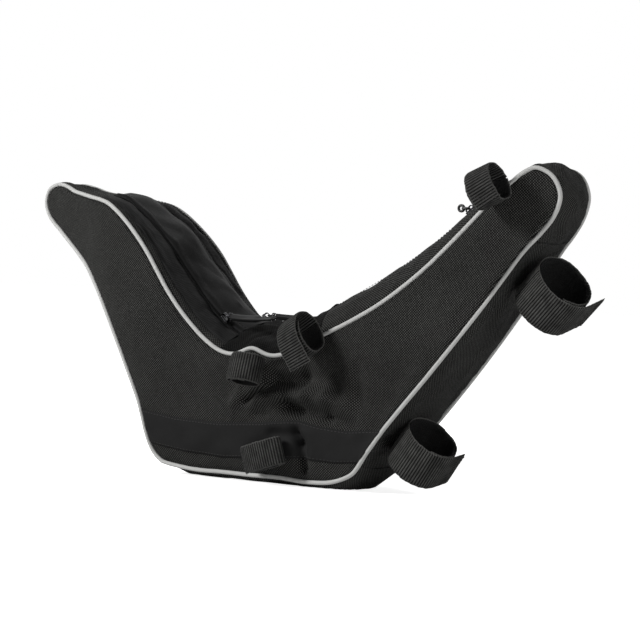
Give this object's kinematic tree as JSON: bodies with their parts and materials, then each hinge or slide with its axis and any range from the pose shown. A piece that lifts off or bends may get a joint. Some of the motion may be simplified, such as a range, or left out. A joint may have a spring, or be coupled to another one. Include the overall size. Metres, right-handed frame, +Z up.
{
  "type": "bicycle frame bag",
  "caption": "V-shaped padded fabric bag for a bicycle frame, with piped seams, a zipped lid, a zipped front opening and hook-and-loop webbing straps.",
  "frame": {"origin": "on the flat bottom of the bag, in its middle plane, below the lowest point of the V", "axes": "+X towards the front of the bicycle, +Y towards the bag's left side, +Z up"},
  "size_m": [0.5931, 0.1492, 0.2913],
  "materials": {
    "woven_fabric": "black plain-weave polyester canvas",
    "smooth_fabric": "black coated fabric with a faint shine",
    "webbing": "black ribbed webbing",
    "piping": "light grey woven piping",
    "foam": "grey closed-cell foam",
    "board": "matt black sheet",
    "zip": "black coil zip on woven tape",
    "slider_metal": "gunmetal plating",
    "pull_rubber": "soft matt black"
  },
  "bodies": {
    "bag": {"side_panel_right": "woven_fabric", "side_panel_left": "woven_fabric", "foam_board_right": "foam", "foam_board_left": "foam", "lower_band_right": "smooth_fabric", "lower_band_left": "smooth_fabric", "piping_right": "piping", "piping_left": "piping", "base_board": "board", "saddle_gusset": "woven_fabric", "nose_gusset": "woven_fabric", "front_gusset": "woven_fabric", "bottom_gusset": "woven_fabric", "rear_gusset": "woven_fabric", "tail_gusset": "woven_fabric", "lid_rim_right": "woven_fabric", "lid_rim_left": "woven_fabric", "lid_zip_chain_right": "zip", "lid_zip_chain_left": "zip", "front_zip_chain": "zip", "top_gusset_right": "woven_fabric", "top_gusset_left": "woven_fabric", "top_strap_front_ring": "webbing", "top_strap_middle_ring": "webbing", "down_strap_upper_ring": "webbing", "down_strap_lower_ring": "webbing", "side_loop_upper_ring": "webbing", "side_loop_lower_ring": "webbing"},
    "lid": {"lid_panel": "smooth_fabric"},
    "lid_zipper_right": {"lid_slider_right": "slider_metal"},
    "lid_zipper_left": {"lid_slider_left": "slider_metal"},
    "lid_pull_right": {"lid_pull_wire_right": "slider_metal", "lid_pull_tube_right": "pull_rubber"},
    "lid_pull_left": {"lid_pull_wire_left": "slider_metal", "lid_pull_tube_left": "pull_rubber"},
    "front_zipper": {"front_slider": "slider_metal"},
    "front_pull": {"front_pull_link": "slider_metal", "front_pull_ring": "slider_metal"},
    "top_front_flap": {"top_strap_front_flap": "webbing", "top_strap_front_hook_pad": "webbing"},
    "top_middle_flap": {"top_strap_middle_flap": "webbing", "top_strap_middle_hook_pad": "webbing"},
    "down_upper_flap": {"down_strap_upper_flap": "webbing", "down_strap_upper_hook_pad": "webbing"},
    "down_lower_flap": {"down_strap_lower_flap": "webbing", "down_strap_lower_hook_pad": "webbing"},
    "side_upper_flap": {"side_loop_upper_flap": "webbing", "side_loop_upper_hook_pad": "webbing"},
    "side_lower_flap": {"side_loop_lower_flap": "webbing", "side_loop_lower_hook_pad": "webbing"}
  },
  "joints": [
    {"name": "lid_hinge", "type": "hinge", "parent": "bag", "child": "lid", "pos_m": [-0.21251, 0, 0.25748], "axis": [0, -1, 0], "range_deg": [0, 70]},
    {"name": "lid_zip_right", "type": "hinge", "parent": "bag", "child": "lid_zipper_right", "pos_m": [0.0976, -0.033, 0.3666], "axis": [0, 1, 0], "range_deg": [0, 15]},
    {"name": "lid_zip_left", "type": "hinge", "parent": "bag", "child": "lid_zipper_left", "pos_m": [0.0976, 0.033, 0.3666], "axis": [0, 1, 0], "range_deg": [0, 15]},
    {"name": "lid_pull_right_swing", "type": "hinge", "parent": "lid_zipper_right", "child": "lid_pull_right", "pos_m": [-0.07106, -0.03297, 0.14731], "axis": [-0.2311, -0.9234, -0.3066], "range_deg": [0, 120]},
    {"name": "lid_pull_left_swing", "type": "hinge", "parent": "lid_zipper_left", "child": "lid_pull_left", "pos_m": [-0.07106, 0.03297, 0.14731], "axis": [0.2311, -0.9234, 0.3066], "range_deg": [0, 120]},
    {"name": "front_zip", "type": "hinge", "parent": "bag", "child": "front_zipper", "pos_m": [-0.1937, 0, 0.6632], "axis": [0, 1, 0], "range_deg": [0, 12]},
    {"name": "front_pull_swing", "type": "hinge", "parent": "front_zipper", "child": "front_pull", "pos_m": [0.16008, 0, 0.25098], "axis": [0, 1, 0], "range_deg": [0, 120]},
    {"name": "top_front_flap_fold", "type": "hinge", "parent": "bag", "child": "top_front_flap", "pos_m": [0.20439, -0.03952, 0.27078], "axis": [-0.7261, 0, -0.6875], "range_deg": [0, 90]},
    {"name": "top_middle_flap_fold", "type": "hinge", "parent": "bag", "child": "top_middle_flap", "pos_m": [0.03378, -0.05329, 0.14069], "axis": [-0.8817, 0, -0.4718], "range_deg": [0, 90]},
    {"name": "down_upper_flap_fold", "type": "hinge", "parent": "bag", "child": "down_upper_flap", "pos_m": [0.23241, -0.02174, 0.19122], "axis": [-0.5802, 0, -0.8145], "range_deg": [0, 90]},
    {"name": "down_lower_flap_fold", "type": "hinge", "parent": "bag", "child": "down_lower_flap", "pos_m": [0.11763, -0.03181, 0.0492], "axis": [-0.6302, 0.0144, -0.7763], "range_deg": [0, 90]},
    {"name": "side_upper_flap_fold", "type": "hinge", "parent": "bag", "child": "side_upper_flap", "pos_m": [-0.0048, -0.06073, 0.103], "axis": [0, 0, 1], "range_deg": [0, 80]},
    {"name": "side_lower_flap_fold", "type": "hinge", "parent": "bag", "child": "side_lower_flap", "pos_m": [0.00859, -0.0542, 0.0321], "axis": [-0.3102, 0, 0.9507], "range_deg": [0, 50]}
  ]
}
